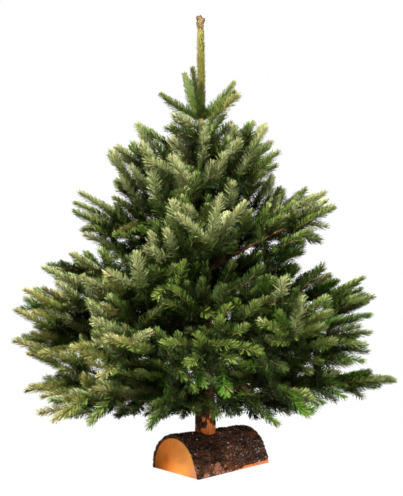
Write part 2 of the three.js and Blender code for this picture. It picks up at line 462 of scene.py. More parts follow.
# The sprays that stand out on the crown's front: the foot right and up, the tip right and up, in millimetres
# on the trunk's plane, and the kind of needles. The branching rule doesn't make them. About 60 of the rows
# were converted by a program, and the rest were given one by one.
# The darker kinds, deep and green, stand mostly low and in the middle of the front: painted shade there.
FRONT_SPRAYS = (
    (-80, 575, -108, 648, "sage"),
    (-175, 494, -194, 581, "sage"),
    (-80, 477, -59, 562, "green"),
    (8, 614, 42, 744, "sage"),
    (8, 619, -76, 694, "sage"),
    (35, 630, 109, 727, "sage"),
    (-9, 828, -4, 933, "sage"),
    (-20, 839, -98, 903, "sage"),
    (-129, 727, -148, 816, "sage"),
    (94, 805, 166, 933, "sage"),
    (245, 358, 264, 447, "sage"),
    (277, 392, 344, 425, "lime"),
    (228, 372, 153, 399, "lime"),
    (238, 348, 168, 350, "lime"),
    (255, 362, 325, 384, "lime"),
    (296, 329, 354, 346, "lime"),
    (65, 355, 110, 385, "leaf"),
    (160, 275, 105, 280, "fresh"),
    (-35, 335, -110, 340, "green"),
    (-5, 305, -20, 360, "green"),
    (5, 335, 75, 335, "green"),
    (75, 330, 145, 320, "green"),
    (-35, 435, 15, 420, "green"),
    (-215, 335, -157, 369, "sage"),
    (-260, 394, -318, 446, "sage"),
    (-201, 494, -268, 535, "sage"),
    (-154, 321, -271, 355, "olive"),
    (-200, 766, -251, 862, "sage"),
    (-145, 841, -186, 944, "sage"),
    (-42, 766, -93, 851, "sage"),
    (30, 785, 50, 860, "sage"),
    (114, 797, 199, 867, "leaf"),
    (171, 710, 180, 800, "sage"),
    (229, 705, 329, 755, "sage"),
    (255, 662, 354, 713, "leaf"),
    (197, 601, 295, 654, "leaf"),
    (164, 572, 264, 622, "fresh"),
    (171, 541, 241, 558, "deep"),
    (-251, 697, -346, 755, "sage"),
    (-265, 650, -361, 704, "leaf"),
    (-230, 594, -332, 639, "sage"),
    (-200, 783, -265, 858, "sage"),
    (-348, 498, -447, 548, "sage"),
    (-272, 529, -369, 584, "sage"),
    (-399, 435, -497, 487, "olive"),
    (-425, 380, -524, 431, "olive"),
    (-419, 316, -528, 345, "olive"),
    (-385, 230, -495, 209, "olive"),
    (-327, 190, -419, 128, "olive"),
    (-243, 205, -318, 123, "leaf"),
    (-88, 200, -155, 111, "deep"),
    (111, 190, 197, 119, "deep"),
    (213, 208, 281, 145, "fresh"),
    (272, 218, 325, 179, "fresh"),
    (320, 237, 383, 193, "fresh"),
    (337, 467, 436, 519, "leaf"),
    (358, 434, 464, 468, "leaf"),
    (322, 348, 432, 336, "leaf"),
    (345, 399, 455, 417, "fresh"),
    (261, 485, 323, 550, "deep"),
    (407, 217, 433, 193, "deep"),
    (14, 440, -9, 507, "deep"),
    (-65, 192, -144, 170, "deep"),
    (59, 187, 93, 159, "deep"),
    (-121, 800, -177, 890, "sage"),
    (-169, 708, -231, 800, "sage"),
    (205, 564, 267, 592, "leaf"),
    (194, 519, 256, 543, "fresh"),
    (327, 314, 436, 290, "fresh"),
    (38, 200, 30, 142, "deep"),
    (-185, 840, -245, 880, "sage"),
    (-150, 825, -200, 890, "leaf"),
    (-20, 935, -85, 970, "sage"),
    (15, 955, 90, 1025, "olive"),
    (345, 410, 445, 455, "deep"),
    (-205, 755, -240, 788, "leaf"),
    (-80, 660, -90, 725, "sage"),
    (95, 885, 70, 940, "sage"),
    (110, 885, 120, 930, "deep"),
    (-110, 730, -55, 765, "leaf"),
    (165, 715, 205, 765, "leaf"),
    (-160, 765, -205, 825, "sage"),
    (-95, 810, -160, 845, "sage"),
    (-105, 575, -160, 600, "sage"),
    (150, 650, 225, 690, "leaf"),
    (-40, 445, -95, 490, "green"),
    (-95, 505, -135, 470, "green"),
    (55, 365, 40, 405, "green"),
    (30, 315, 80, 295, "green"),
    (0, 310, -45, 285, "green"),
    (165, 280, 215, 255, "fresh"),
    (-35, 290, -5, 230, "fresh"),
    (-125, 250, -95, 205, "fresh"),
    (45, 265, 55, 205, "fresh"),
    (-180, 390, -130, 430, "leaf"),
    (-240, 370, -305, 400, "sage"),
    (-265, 300, -340, 310, "olive"),
    (-300, 330, -370, 325, "olive"),
    (-330, 270, -400, 265, "leaf"),
    (240, 235, 310, 170, "fresh"),
    (-95, 300, -60, 245, "deep"),
    (-60, 275, -30, 215, "deep"),
    (-110, 835, -135, 890, "deep"),
    (-345, 212, -450, 192, "olive"),
    (-205, 600, -262, 575, "leaf"),
    (-200, 570, -262, 545, "deep"),
    (95, 650, 125, 700, "leaf"),
    (175, 553, 268, 608, "fresh"),
    (5, 780, 18, 835, "sage"),
    (-195, 735, -240, 770, "leaf"),
    (350, 325, 447, 318, "deep"),
    (310, 285, 395, 283, "leaf"),
    (-405, 352, -478, 366, "olive"),
    (270, 420, 335, 460, "leaf"),
    (170, 300, 215, 272, "deep"),
    (345, 385, 418, 405, "deep"),
    (110, 850, 145, 895, "leaf"),
    (120, 770, 155, 812, "leaf"),
    (355, 368, 425, 385, "leaf"),
    (-200, 705, -250, 740, "leaf"),
    (-262, 638, -320, 660, "leaf"),
    (-262, 268, -328, 285, "olive"),
    (-60, 440, -115, 452, "green"),
    (60, 850, 92, 895, "sage"),
    (-172, 840, -205, 880, "leaf"),
    (195, 530, 250, 552, "fresh"),
    (255, 512, 322, 543, "deep"),
    (-240, 285, -290, 250, "olive"),
    (245, 290, 290, 262, "leaf"),
    (40, 190, 70, 145, "deep"),
    (-375, 325, -455, 310, "olive"),
    (-350, 465, -410, 505, "sage"),
    (-245, 540, -290, 595, "leaf"),
    (235, 305, 315, 290, "deep"),
    (45, 500, 75, 560, "deep"),
    (95, 490, 155, 550, "deep"),
    (85, 540, 150, 585, "deep"),
    (-20, 907, -104, 935, "deep"),
    (25, 890, 57, 937, "deep"),
)

# The same for the sprays that close the last thin places, grown after all the others.
LAST_SPRAYS = (
    (-190, 622, -245, 642, "leaf"),
    (-215, 590, -268, 603, "deep"),
    (110, 735, 155, 785, "leaf"),
    (35, 400, 62, 435, "green"),
    (-40, 880, -68, 922, "sage"),
    (-45, 930, -82, 955, "sage"),
    (360, 318, 440, 334, "deep"),
    (320, 300, 400, 290, "leaf"),
    (-340, 290, -415, 308, "olive"),
    (-415, 400, -475, 425, "olive"),
)


# How far a placed spray's foot sinks behind the crown's front and its tip stands before it, in shares of the
# way to the eye.
FOOT_SINK = 0.007
TIP_STAND = 0.009


def front_line(foot_right, foot_height, tip_right, tip_height):
    """A front spray's foot and tip: the foot on the crown's front, the tip a little nearer the eye."""
    foot_aim = RIGHT * foot_right * MM + UP * foot_height * MM - EYE
    tip_aim = RIGHT * tip_right * MM + UP * tip_height * MM - EYE
    share = min(OUTLINE.front(EYE, foot_aim), OUTLINE.front(EYE, (foot_aim + tip_aim) / 2))
    return EYE + foot_aim * (share + FOOT_SINK), EYE + tip_aim * (share - TIP_STAND)


FRONT_AIR = (22 * MM, 44 * MM)  # how far in front of a placed spray no other shoot may end


class Crown:
    """Every shoot of the crown, grown from the main boughs' own lines outwards."""

    def __init__(self):
        self.shoots = []
        self.room = Room(CROWDING)
        self.gaps = Room(WIDEST_GAP)
        self.sprays = FIRST_SPRAY
        axes = deque()
        for number, bough in enumerate(BOUGHS):
            self.grow_bough(number, bough, axes)
            axes.extendleft(hanging_axes(bough, np.random.default_rng(HANGING_SEED + number)))
        self.grow_sprays(FRONT_SPRAYS)
        axes.extend(trunk_axes())
        self.grow(axes)
        self.fill_gaps()
        self.grow_sprays(LAST_SPRAYS)

    def settle(self, shoot):
        self.shoots.append(shoot)
        self.room.fill(shoot.points[1:])
        self.gaps.fill(shoot.points[1:])

    def grow_bough(self, number, bough, axes):
        """A main bough's own seasons, from the trunk to its tip."""
        rng = np.random.default_rng(BOUGH_SEED + number)
        season_length = max(bough.length / bough.seasons, SHORTEST_SEASON)
        previous = bough.trunk_radius / bough.length
        for season in range(bough.seasons):
            share = (season + 1) / bough.seasons
            points = np.array([bough.at(s) for s in np.linspace(previous, share, 5)])
            sway = np.cross(unit(bough.tip - bough.foot), UP) * rng.normal(0, 3 * MM)
            points[1:4] += np.outer(np.sin(np.linspace(0, math.pi, 5))[1:4], sway)
            previous = share
            age = bough.seasons - season
            overreach = TOP_OVERREACH if bough.tier < 3 else OVERREACH
            shoot = Shoot(points, age, 0, number * 100 + season, bough.tier, overreach)
            shoot.is_tip = age == 1
            self.settle(shoot)
            if age > 1:
                if share > bough.bare * 0.85:
                    axes.extend(side_axes(shoot, age - 1, season_length, rng))
                if share > bough.bare:
                    axes.extend(between_axes(shoot, age - 1, season_length, rng))

    def grow_sprays(self, rows):
        """Sprays placed as rows say, each on a twig of its own from the nearest shoot over a season old."""
        for row in rows:
            places = np.concatenate([shoot.points[1:-1] for shoot in self.shoots if shoot.age > 1])
            foot, tip = front_line(*row[:4])
            self.sprays += 1
            tier = min(WHORLS, key=lambda tier: abs(WHORLS[tier]["height"] - foot[2] + 40 * MM))
            share = np.linspace(0, 1, 5)[:, None]
            bow = np.sin(share * math.pi)
            origin = places[np.argmin(np.linalg.norm(places - foot + UP * 40 * MM, axis=1))]
            twig = origin + (foot - origin) * share - UP * bow * 10 * MM
            spray = foot + (tip - foot) * share - BACK * bow * 5 * MM
            stalk = Shoot(twig, 2, 1, self.sprays, tier, OVERREACH)
            stalk.kind = "deep"
            self.settle(stalk)
            shoot = Shoot(spray, 1, 1, self.sprays, tier, OVERREACH)
            shoot.kind = row[4]
            shoot.is_tip = True
            self.settle(shoot)
            for air in FRONT_AIR:
                self.room.fill(spray[1:] - BACK * air)

    def fitting(self, axis, start, heading, age, rng):
        """A shoot that stays in the outline and clear of the others, shortened if it must be, or None."""
        for stretch in (1.0, 0.85, 0.7):
            if axis.length * stretch < SHORTEST_SHOOT:
                return None
            points = curved(start, heading, axis.length * stretch, axis.tier, rng)
            if OUTLINE.depth(points[-1], axis.overreach + 20 * MM) < -axis.overreach:
                continue
            if OUTLINE.depth(points[2], axis.overreach + 20 * MM) < -axis.overreach / 4:
                continue
            if in_opening(points[2:]):
                continue
            shoot = Shoot(points, age, axis.order, self.sprays, axis.tier, axis.overreach)
            clearance = (INNER_CROWDING if shoot.inner else CROWDING) * fineness(points[-1])
            if self.room.taken(points[-1], clearance) or self.room.taken(points[3], clearance * 0.8):
                continue
            return shoot
        return None

    def grow(self, axes):
        """Grows each axis season by season, with its side shoots, the oldest axes first."""
        while axes:
            axis = axes.popleft()
            self.sprays += 1
            rng = np.random.default_rng(self.sprays)
            start, heading, last = axis.start, axis.heading, None
            for age in range(axis.seasons, 0, -1):
                shoot = self.fitting(axis, start, heading, age, rng)
                if shoot is None:
                    break
                self.settle(shoot)
                last = shoot
                start, heading = shoot.points[-1], shoot.heading
                if age > 1:
                    axes.extend(side_axes(shoot, age - 1, axis.length, rng))
                    axes.extend(between_axes(shoot, age - 1, axis.length, rng))
            if last is not None:
                last.is_tip = True
                last.age = 1

    def fill_gaps(self):
        """Grows side shoots towards the places in the outline that are still empty."""
        rng = np.random.default_rng(77)
        known = 0
        for _ in range(FILL_TRIES):
            number, target = OUTLINE.sample(rng)
            if self.gaps.taken(target, WIDEST_GAP):
                continue
            depth = OUTLINE.depth(target)
            if depth < FILL_DEPTH or rng.random() < min(0.6, (depth - 40 * MM) / (60 * MM)):
                continue
            if known != len(self.shoots):
                known = len(self.shoots)
                parents = [shoot for shoot in self.shoots if shoot.age > 1]
                places = np.concatenate([shoot.points[1:] for shoot in parents])
                lines = [unit(shoot.points[-1] - shoot.points[0]) for shoot in parents]
                headings = np.repeat(lines, 4, axis=0)
                grown = np.concatenate([shoot.points[2:] for shoot in self.shoots])
            if np.sum(np.linalg.norm(grown - target, axis=1) < NEIGHBOURS) < LONELY:
                continue
            offset = target - places
            distance = np.linalg.norm(offset, axis=1)
            angle = np.degrees(np.arccos(np.sum(offset * headings, axis=1) / distance))
            lean = offset @ outward(target, BOUGHS[number].tier) / distance
            score = distance + np.abs(angle - 45) * MM + (1 - lean) * 60 * MM
            score[(distance < FILL_REACH[0]) | (distance > FILL_REACH[1]) | (angle > 85)] = 9
            best = int(np.argmin(score))
            if score[best] > 1:
                continue
            parent = parents[best // 4]
            reach = distance[best] + 18 * MM
            seasons = 1 if reach < LONGEST_SHOOT else 2
            heading = unit(offset[best] / distance[best] - 0.35 * outward(places[best], parent.tier))
            length = max(reach / seasons, SHORTEST_SHOOT)
            axis = Axis(parent.tier, places[best], heading, seasons, length, parent.order + 1, OVERREACH)
            self.grow(deque([axis]))


# ---- Joined meshes from arrays ----
def mesh_piece(name, points, faces, finish, slot, stands_for=()):
    """One piece from arrays. faces is a list of arrays, each holding the faces of one number of corners."""
    mesh = bpy.data.meshes.new(name)
    mesh.vertices.add(len(points))
    mesh.vertices.foreach_set("co", np.asarray(points, np.float32).ravel())
    corners_of = np.concatenate([f.ravel() for f in faces]).astype(np.int32)
    sizes = np.concatenate([np.full(len(f), f.shape[1]) for f in faces])
    mesh.loops.add(len(corners_of))
    mesh.loops.foreach_set("vertex_index", corners_of)
    mesh.polygons.add(len(sizes))
    starts = np.concatenate([[0], np.cumsum(sizes)[:-1]]).astype(np.int32)
    mesh.polygons.foreach_set("loop_start", starts)
    mesh.update(calc_edges=True)
    mesh.materials.append(finish)
    piece = bpy.data.objects.new(name, mesh)
    bpy.context.scene.collection.objects.link(piece)
    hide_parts(*stands_for)
    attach(piece, "root")
    return piece


def along_line(points, shares):
    """Places and headings at shares of a line's length."""
    steps = np.linalg.norm(np.diff(points, axis=0), axis=1)
    reach = np.concatenate([[0], np.cumsum(steps)]) / steps.sum()
    places = np.stack([np.interp(shares, reach, points[:, k]) for k in range(3)], axis=1)
    step = np.clip(np.searchsorted(reach, shares, side="right") - 1, 0, len(steps) - 1)
    headings = np.diff(points, axis=0)[step]
    return places, headings / np.linalg.norm(headings, axis=1, keepdims=True)


def normalised(rows):
    return rows / np.maximum(np.linalg.norm(rows, axis=1, keepdims=True), 1e-9)


# ---- Needles ----
# Along a shoot, from its foot to its tip: share of the shoot, lean away from it in degrees, the lean's
# scatter, share of full length.
BRUSH_NEEDLES = np.array(
    [
        (0, 68, 8, 0.8),
        (0.15, 66, 8, 1),
        (0.5, 60, 8, 1),
        (0.75, 52, 8, 0.96),
        (0.9, 40, 10, 0.88),
        (1, 20, 14, 0.72),
    ]
)
STRONG_NEEDLES = np.array(
    [(0, 74, 4, 1.0), (0.3, 62, 4, 0.95), (0.65, 50, 4, 0.74), (0.88, 42, 6, 0.5), (1, 44, 8, 0.4)]
)


def needles_on(points, count, radius, rng, sky, length, along=BRUSH_NEEDLES, lean=1.0, flat=0.0):
    """The blades on one shoot, four corners each, and the way that each one leaves the shoot.

    Every blade twists at its foot to turn its flat side to the sky that it sees. In a flat spray the blades
    over and under the shoot are shorter than those beside it and lie closer along it.
    """
    shares = (np.arange(count) + rng.random(count)) / count
    places, headings = along_line(points, shares * 0.99)
    over = normalised(UP - headings * headings[:, 2:3] + 1e-4 * RIGHT)
    beside = np.cross(headings, over)
    turn = (np.arange(count) * GOLDEN_TURN + rng.normal(0, 0.3, count))[:, None]
    out = normalised(over * (np.cos(turn) + COMB) + beside * np.sin(turn))
    sideways = 1 - flat * (1 - np.abs(np.sin(turn[:, 0])))
    leans, scatter, lengths = (np.interp(shares, along[:, 0], along[:, k]) for k in (1, 2, 3))
    angle = np.radians(leans * lean * sideways + scatter * rng.normal(0, 1, count))[:, None]
    blade = headings * np.cos(angle) + out * np.sin(angle)
    reach = (length * lengths * sideways**0.5 * rng.uniform(0.82, 1.1, count))[:, None]
    edge = normalised(np.cross(blade, sky) + np.cross(headings, out) * 0.15)
    roll = rng.normal(0, 0.4, count)[:, None]
    edge = edge * np.cos(roll) + np.cross(blade, edge) * np.sin(roll)
    half = edge * NEEDLE_WIDTH / 2
    foot = places + out * radius
    tip = foot + blade * reach + headings * reach * 0.08 + UP * reach * 0.03
    blades = np.stack([foot - half * 0.8, foot + half * 0.8, tip + half * 0.75, tip - half * 0.75], axis=1)
    return blades, out


def blade_faces(count):
    return [np.arange(count * 4).reshape(-1, 4)]


# ---- Twigs and buds ----
TWIG_SIDES = 5
BUD_SIDES = 4
BUD_RINGS = ((0.0, 0.55), (0.35, 1.0), (0.75, 0.6))  # share of a bud's length, share of its full radius


def frames_on(points):
    headings = normalised(np.gradient(points, axis=0))
    over = normalised(UP - headings * headings[:, 2:3] + 1e-4 * RIGHT)
    return headings, over, np.cross(headings, over)


def tube(points, radii, sides=TWIG_SIDES):
    """A closed tapering tube: rings of corners, then one corner at each end."""
    _, over, beside = frames_on(points)
    turn = np.arange(sides) * 2 * math.pi / sides
    ring = np.cos(turn)[None, :, None] * over[:, None] + np.sin(turn)[None, :, None] * beside[:, None]
    rings = points[:, None] + ring * np.asarray(radii)[:, None, None]
    rows = len(points)
    grid = np.arange(rows * sides).reshape(rows, sides)
    turned = np.roll(grid, -1, axis=1)
    quads = np.stack([grid[:-1], turned[:-1], turned[1:], grid[1:]], axis=-1).reshape(-1, 4)
    foot, tip = rows * sides, rows * sides + 1
    caps = [np.stack([turned[0], grid[0], np.full(sides, foot)], axis=-1)]
    caps.append(np.stack([grid[-1], turned[-1], np.full(sides, tip)], axis=-1))
    corners_all = np.concatenate([rings.reshape(-1, 3), points[:1], points[-1:]])
    return corners_all, quads, np.concatenate(caps)


def bud(start, heading, length, radius):
    """A small pointed bud."""
    points = np.array([start + heading * length * share for share, _ in BUD_RINGS])
    corners_all, quads, caps = tube(points, [radius * share for _, share in BUD_RINGS], BUD_SIDES)
    corners_all[-1] = start + heading * length
    return corners_all, quads, caps


class Joined:
    """Gathers small closed shapes into one mesh."""

    def __init__(self):
        self.points, self.quads, self.triangles, self.count = [], [], [], 0

    def add(self, points, quads, triangles):
        self.points.append(points)
        self.quads.append(quads + self.count)
        self.triangles.append(triangles + self.count)
        self.count += len(points)

    def piece(self, name, finish, slot):
        faces = [np.concatenate(self.quads), np.concatenate(self.triangles)]
        piece = mesh_piece(name, np.concatenate(self.points), faces, finish, slot)
        piece.data.shade_smooth()
        return piece


# ---- Finishes ----
class Value:
    """A shader socket that takes part in sums: each operator adds its Math node."""

    def __init__(self, tree, socket):
        self.tree = tree
        self.socket = socket

    def math(self, operation, *values):
        node = self.tree.nodes.new("ShaderNodeMath")
        node.operation = operation
        for put, value in zip(node.inputs, (self, *values)):
            if isinstance(value, Value):
                self.tree.links.new(value.socket, put)
            else:
                put.default_value = value
        return Value(self.tree, node.outputs[0])

    def __add__(self, other):
        return self.math("ADD", other)

    def __sub__(self, other):
        return self.math("SUBTRACT", other)

    def __mul__(self, other):
        return self.math("MULTIPLY", other)

    def __pow__(self, other):
        return self.math("POWER", other)

    def __neg__(self):
        return self.math("MULTIPLY", -1.0)

    def __rsub__(self, other):
        return -self + other

    __radd__ = __add__
    __rmul__ = __mul__

    def over(self, low, high):
        """0 below low, 1 above high and a straight ramp between."""
        return ((self - low) * (1 / (high - low))).math("MAXIMUM", 0.0).math("MINIMUM", 1.0)


class Finish:
    """One material: a Principled shader and the nodes that feed it."""

    def __init__(self, name, **constants):
        self.material = bpy.data.materials.new(name)
        self.material.use_nodes = True
        self.tree = self.material.node_tree
        self.shader = self.tree.nodes["Principled BSDF"]
        for socket, value in constants.items():
            self.shader.inputs[socket.replace("_", " ")].default_value = value

    def node(self, kind, settings=None, inputs=None, output=0):
        """A node of a type, with its settings made first and then its sockets filled or linked."""
        node = self.tree.nodes.new(kind)
        for key, value in (settings or {}).items():
            if key == "stops":
                ramp = node.color_ramp
                while len(ramp.elements) < len(value):
                    ramp.elements.new(0.5)
                for element, (place, color) in zip(ramp.elements, value):
                    element.position = place
                    element.color = (*color, 1)
            else:
                setattr(node, key, value)
        for key, value in (inputs or {}).items():
            if isinstance(value, Value):
                self.tree.links.new(value.socket, node.inputs[key])
            else:
                node.inputs[key].default_value = value
        return Value(self.tree, node.outputs[output])

    def place(self, scale=(1, 1, 1), turn=(0, 0, 0), shift=(0, 0, 0)):
        """Object coordinates, shifted, turned and scaled."""
        texture = self.node("ShaderNodeTexCoord", output="Object")
        inputs = {"Vector": texture, "Location": shift, "Rotation": turn, "Scale": scale}
        return self.node("ShaderNodeMapping", {"vector_type": "POINT"}, inputs)

    def axes(self, vector):
        """A vector's three numbers."""
        node = self.tree.nodes.new("ShaderNodeSeparateXYZ")
        self.tree.links.new(vector.socket, node.inputs[0])
        return [Value(self.tree, socket) for socket in node.outputs]

    def noise(self, vector, scale, detail=4.0, roughness=0.55):
        inputs = {"Vector": vector, "Scale": scale, "Detail": detail, "Roughness": roughness}
        return self.node("ShaderNodeTexNoise", {}, inputs, output="Fac")

    def mix(self, factor, first, second):
        """One colour over another by a factor."""
        settings = {"data_type": "RGBA"}
        inputs = {0: factor, 6: colour(first), 7: colour(second)}
        return self.node("ShaderNodeMix", settings, inputs, output=2)

    def feed(self, socket, value):
        self.tree.links.new(value.socket, self.shader.inputs[socket])

    def bump(self, height, distance, strength=1.0):
        inputs = {"Height": height, "Distance": distance, "Strength": strength}
        self.feed("Normal", self.node("ShaderNodeBump", {}, inputs))


def linear(value):
    """An 8-bit display value as linear light."""
    share = value / 255
    return share / 12.92 if share <= 0.04045 else ((share + 0.055) / 1.055) ** 2.4


def tone(red, green, blue, gain=1.0):
    return tuple(linear(v) * gain for v in (red, green, blue))


def colour(value):
    """A colour for a socket, from three numbers or from another node."""
    return value if isinstance(value, Value) else (*value, 1.0)


def needle_finish(name, base, tint):
    """Needles: their own colour, drifting a little towards a tint, with a soft waxy gloss."""
    finish = Finish(name, Specular_IOR_Level=0.12)
    drift = finish.noise(finish.place(), 9.0, 2.0).over(0.35, 0.65)
    fleck = finish.noise(finish.place(), 260.0, 1.0).over(0.3, 0.7)
    mixed = finish.mix(drift * 0.5 + fleck * 0.4, base, tint)
    finish.feed("Base Color", mixed)
    finish.feed("Roughness", 0.5 + fleck * 0.16)
    return finish.material


def plain_bark_finish(name, base, dark, scale):
    """Thin bark: streaks and specks between two browns, with a fine relief."""
    finish = Finish(name, Specular_IOR_Level=0.25)
    coarse = finish.noise(finish.place(), scale, 5.0, 0.65)
    finish.feed("Base Color", finish.mix(coarse.over(0.35, 0.66), dark, base))
    finish.feed("Roughness", 0.95 - coarse * 0.3)
    finish.bump(coarse, 0.6 * MM)
    return finish.material


def bud_finish():
    """Resinous buds: orange-brown scales with a slight gloss."""
    finish = Finish("bud_scales", Specular_IOR_Level=0.45)
    scales = finish.noise(finish.place(), 420.0, 2.0)
    finish.feed("Base Color", finish.mix(scales.over(0.35, 0.65), tone(62, 40, 20), tone(98, 68, 38)))
    finish.feed("Roughness", 0.5 - scales * 0.2)
    return finish.material


# ---- Modelling steps ----
def deselect():
    bpy.ops.object.select_all(action="DESELECT")


def edit(piece):
    """Opens a piece in edit mode with nothing selected in it, and returns its editable mesh."""
    bpy.ops.object.mode_set(mode="EDIT")
    bpy.ops.mesh.select_all(action="DESELECT")
    return bmesh.from_edit_mesh(piece.data)


def finish_edit():
    bpy.ops.object.mode_set(mode="OBJECT")


def apply_place():
    bpy.ops.object.transform_apply(location=True, rotation=True, scale=True)


def subdivide(piece, levels, kind="CATMULL_CLARK"):
    """Makes a piece's mesh finer: rounder, or with kind SIMPLE in the same shape."""
    finer = piece.modifiers.new("finer", "SUBSURF")
    finer.subdivision_type = kind
    finer.levels = finer.render_levels = levels
    bpy.ops.object.modifier_apply(modifier="finer")


def relief(piece, kind, size, height, stretch=(1, 1, 1), group="", **settings):
    """Raises and sinks a piece's surface by a procedural pattern of a size, stretched along the axes."""
    texture = bpy.data.textures.new(f"{piece.name}_{kind.lower()}", kind)
    for key, value in settings.items():
        setattr(texture, key, value)
    bpy.ops.object.empty_add()
    ruler = bpy.context.object
    ruler.scale = [size * s for s in stretch]
    bpy.context.view_layer.update()
    bpy.context.view_layer.objects.active = piece
    modifier = piece.modifiers.new(kind, "DISPLACE")
    modifier.texture = texture
    modifier.texture_coords = "OBJECT"
    modifier.texture_coords_object = ruler
    modifier.strength = height
    modifier.mid_level = 0.5
    modifier.vertex_group = group
    bpy.ops.object.modifier_apply(modifier=modifier.name)
    bpy.data.objects.remove(ruler)


def stem(name, places, radii, sides):
    """A tapering stem: a ring at the first place, extruded from place to place and resized at each."""
    deselect()
    heading = Vector(places[1] - places[0]).normalized()
    turn = heading.to_track_quat("Z", "Y").to_euler()
    bpy.ops.mesh.primitive_circle_add(
        vertices=sides, radius=radii[0], fill_type="NGON", location=places[0], rotation=turn
    )
    piece = bpy.context.object
    piece.name = name
    piece.data.name = name
    apply_place()
    mesh = edit(piece)
    for face in mesh.faces:
        face.select_set(True)
    for here, there, before, after in zip(places, places[1:], radii, radii[1:]):
        bpy.ops.mesh.extrude_region_move(TRANSFORM_OT_translate={"value": there - here})
        share = after / before
        bpy.ops.transform.resize(value=(share, share, share), center_override=there)
    bpy.ops.mesh.select_all(action="SELECT")
    bpy.ops.mesh.normals_make_consistent(inside=False)
    finish_edit()
    return piece


# ---- Trunk ----
TRUNK_SIDES = 28
TRUNK_STEP = 18 * MM
LEADER_FOOT = WHORLS[1]["height"]
LEADER_RADIUS = 4.2 * MM
LEADER_SHOULDER = 25 * MM  # how far above its foot the leader has that radius
STEM_TOP = TREE_TOP - 14 * MM  # where the trunk's bark and the leader's needles end, among the top buds


def make_trunk(finish):
    """The trunk from its flat cut in the log to the foot of the top buds."""
    heights = np.append(np.arange(RINGS[0, 0], STEM_TOP, TRUNK_STEP), STEM_TOP)
    places, radii = [], []
    for height in heights:
        centre, radius = trunk_at(height)
        places.append(centre)
        radii.append(min(radius, LEADER_RADIUS) if height > LEADER_FOOT + LEADER_SHOULDER else radius)
    trunk = stem("trunk_bark", places, radii, TRUNK_SIDES)
    subdivide(trunk, 2)
    relief(trunk, "CLOUDS", 34 * MM, 3.2 * MM, (1, 1, 1.6), noise_depth=2)
    relief(trunk, "CLOUDS", 6 * MM, 1.1 * MM, (1, 1, 1.8), noise_depth=3)
    bpy.ops.object.shade_smooth()
    trunk.data.materials.append(finish)
    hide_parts("trunk")
    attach(trunk, "root")


def trunk_finish():
    """Young bark: dark and scaly, shaved to orange wood in patches round the foot, olive up on the leader."""
    finish = Finish("young_trunk_bark", Specular_IOR_Level=0.2)
    height = finish.axes(finish.place())[2]
    scales = finish.noise(finish.place(scale=(1, 1, 0.6)), 120.0, 5.0, 0.65)
    bark = finish.mix(scales.over(0.38, 0.64), tone(22, 12, 6), tone(84, 56, 34))
    patches = finish.noise(finish.place(scale=(1, 1, 0.5), shift=(0.31, 0.12, 0)), 55.0, 2.0, 0.5)
    low = 1 - height.over(0.100, 0.124)
    shaved = (patches + low * 0.3).over(0.58, 0.61) * (1 - height.over(0.17, 0.19))
    wood = finish.mix(scales.over(0.3, 0.7), tone(140, 62, 18), tone(222, 126, 56))
    bark = finish.mix(shaved, bark, wood)
    olive = finish.mix(scales.over(0.3, 0.7), tone(92, 74, 36), tone(140, 122, 60))
    finish.feed("Base Color", finish.mix(height.over(0.93, 0.97), bark, olive))
    finish.feed("Roughness", 0.95 - shaved * 0.3)
    finish.bump(scales - shaved * 0.8, 1.0 * MM)
    return finish.material


# ---- Limbs ----
LIMB_SIDES = 8
LIMB_TIP_RADIUS = 1.7 * MM


def limb_radius(bough, share):
    """A bough's radius along its line, thick at the trunk and as thin as a twig at the last season."""
    foot = (4.4 + 0.6 * bough.seasons) * MM if bough.limb else (3 + 1.1 * bough.seasons) * MM
    return LIMB_TIP_RADIUS + (foot - LIMB_TIP_RADIUS) * (1 - share) ** 1.35


def make_limb(bough, finish):
    """One main bough from inside the trunk's bark to the foot of its last season's shoot."""
    last = 1 - 0.9 / bough.seasons
    start = 0.5 * bough.trunk_radius / bough.length
    shares = np.linspace(start, last, 5 + 2 * bough.seasons)
    rng = np.random.default_rng(bough.tier * 50 + int(bough.length * 1e4))
    places = [bough.at(s) + rng.normal(0, 0.5 * MM, 3) for s in shares]
    radii = [limb_radius(bough, s) * rng.uniform(0.94, 1.06) for s in shares]
    limb = stem(f"limb_{bough.mark}", places, radii, LIMB_SIDES)
    subdivide(limb, 2)
    relief(limb, "CLOUDS", 7 * MM, 1.6 * MM, noise_depth=3)
    bpy.ops.object.shade_smooth()
    limb.data.materials.append(finish)
    if bough.limb:
        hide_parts(bough.limb)
    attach(limb, "root")


# ---- Half log ----
LOG_RADIUS = 91 * MM  # at its thick end, -X
LOG_THIN_END = 0.9  # share of that radius at its thin end
LOG_AXIS_HEIGHT = 11.5 * MM
LOG_SPREAD = 9 * MM  # how far the bark's lower edge on the -Y side stands out past the round
LOG_SPREAD_HEIGHT = 32 * MM
LOG_SPREAD_STEPS = 8
LOG_SIDES = 168
LOG_CUTS = 88
BARK_THICKNESS = 7.5 * MM
BARK_RELIEF = 1.6 * MM  # the smooth billet is this much slimmer, so that its relief ends at the full radius
BORE_CLEARANCE = 0.8 * MM


